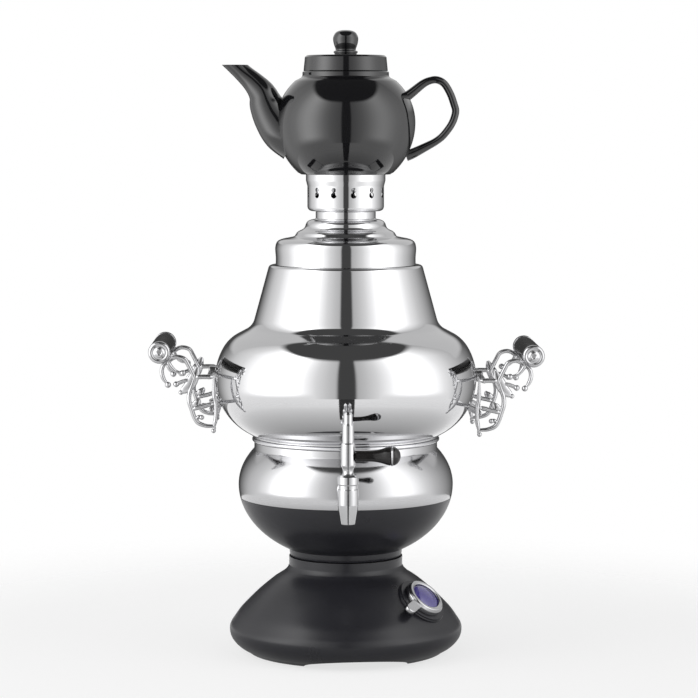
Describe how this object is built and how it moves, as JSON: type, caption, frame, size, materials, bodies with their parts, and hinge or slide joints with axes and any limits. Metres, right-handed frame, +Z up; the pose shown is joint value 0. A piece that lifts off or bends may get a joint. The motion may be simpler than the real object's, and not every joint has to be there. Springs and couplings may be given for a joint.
{
  "type": "samovar",
  "caption": "Electric samovar: a polished steel water tank with a tap and side handles on a black heated foot, and a black teapot on its vented crown.",
  "frame": {"origin": "on the surface it stands on, midway between the front of the tap and the back of the body; the main turned axis runs 9.7 mm behind it", "axes": "+Z up along the main axis, -Y to the front where the tap is, +X to the viewer's right, where the tap's lever points"},
  "size_m": [0.3492, 0.2544, 0.5593],
  "materials": {
    "black_plastic": "satin",
    "polished_steel": "mirror polished",
    "plain_steel": "plain",
    "chrome": "mirror",
    "brass": "plain",
    "copper": "plain copper",
    "black_glaze": "gloss",
    "black_bakelite": "gloss",
    "blue_lens": "gloss",
    "silicone": "matte",
    "rubber": "matte",
    "wire_jacket": "plain"
  },
  "bodies": {
    "samovar": {"base_shell": "black_plastic", "base_plate": "black_plastic", "lower_housing": "black_plastic", "control_bezel": "black_plastic", "rubber_foot_1": "rubber", "rubber_foot_2": "rubber", "rubber_foot_3": "rubber", "base_screw_1": "plain_steel", "base_screw_2": "plain_steel", "base_screw_3": "plain_steel", "power_inlet": "black_bakelite", "inlet_pin_live": "brass", "inlet_pin_earth": "brass", "inlet_pin_neutral": "brass", "thermostat_body": "black_bakelite", "thermostat_nut": "plain_steel", "capillary": "copper", "wire_live": "wire_jacket", "wire_switched": "wire_jacket", "wire_heater": "wire_jacket", "wire_neutral": "wire_jacket", "wire_earth": "wire_jacket", "clamp_tube": "plain_steel", "clamp_nut": "plain_steel", "tank_bottom": "plain_steel", "heating_element": "plain_steel", "element_nut": "brass", "element_gasket": "silicone", "thermal_cutout": "black_bakelite", "bowl_shell": "polished_steel", "waist_ring": "chrome", "body_shell": "polished_steel", "left_handle_bracket": "chrome", "right_handle_bracket": "chrome", "left_handle_grip": "black_bakelite", "right_handle_grip": "black_bakelite", "left_grip_bolt": "plain_steel", "right_grip_bolt": "plain_steel", "left_mount_bolt_upper": "plain_steel", "left_mount_bolt_lower": "plain_steel", "right_mount_bolt_upper": "plain_steel", "right_mount_bolt_lower": "plain_steel", "tap_body": "chrome", "tap_flange": "chrome", "tap_washer": "silicone", "tap_nut": "brass"},
    "lid": {"lid_shell": "polished_steel", "lid_collar": "plain_steel", "lid_gasket": "silicone", "crown": "polished_steel", "crown_sleeve": "chrome"},
    "pot": {"teapot_body": "black_glaze"},
    "pot_lid": {"teapot_lid": "black_glaze"},
    "tap_key": {"tap_plug": "chrome", "tap_lever": "black_bakelite", "tap_lever_ring": "chrome"},
    "control": {"thermostat_knob": "chrome", "knob_lens": "blue_lens", "thermostat_spindle": "plain_steel"}
  },
  "joints": [
    {"name": "lid_lift", "type": "slide", "parent": "samovar", "child": "lid", "axis": [0, 0, 1], "range_m": [0, 0.06]},
    {"name": "pot_lift", "type": "slide", "parent": "lid", "child": "pot", "axis": [0, 0, 1], "range_m": [0, 0.04]},
    {"name": "pot_lid_lift", "type": "slide", "parent": "pot", "child": "pot_lid", "axis": [0, 0, 1], "range_m": [0, 0.04]},
    {"name": "tap_turn", "type": "hinge", "parent": "samovar", "child": "tap_key", "pos_m": [0, -0.11829, 0.16], "axis": [0, 0, -1], "range_deg": [0, 90]},
    {"name": "thermostat_turn", "type": "hinge", "parent": "samovar", "child": "control", "pos_m": [0.06643, -0.03717, 0.05244], "axis": [-0.5581, 0.3937, -0.7304], "range_deg": [0, 270]}
  ]
}
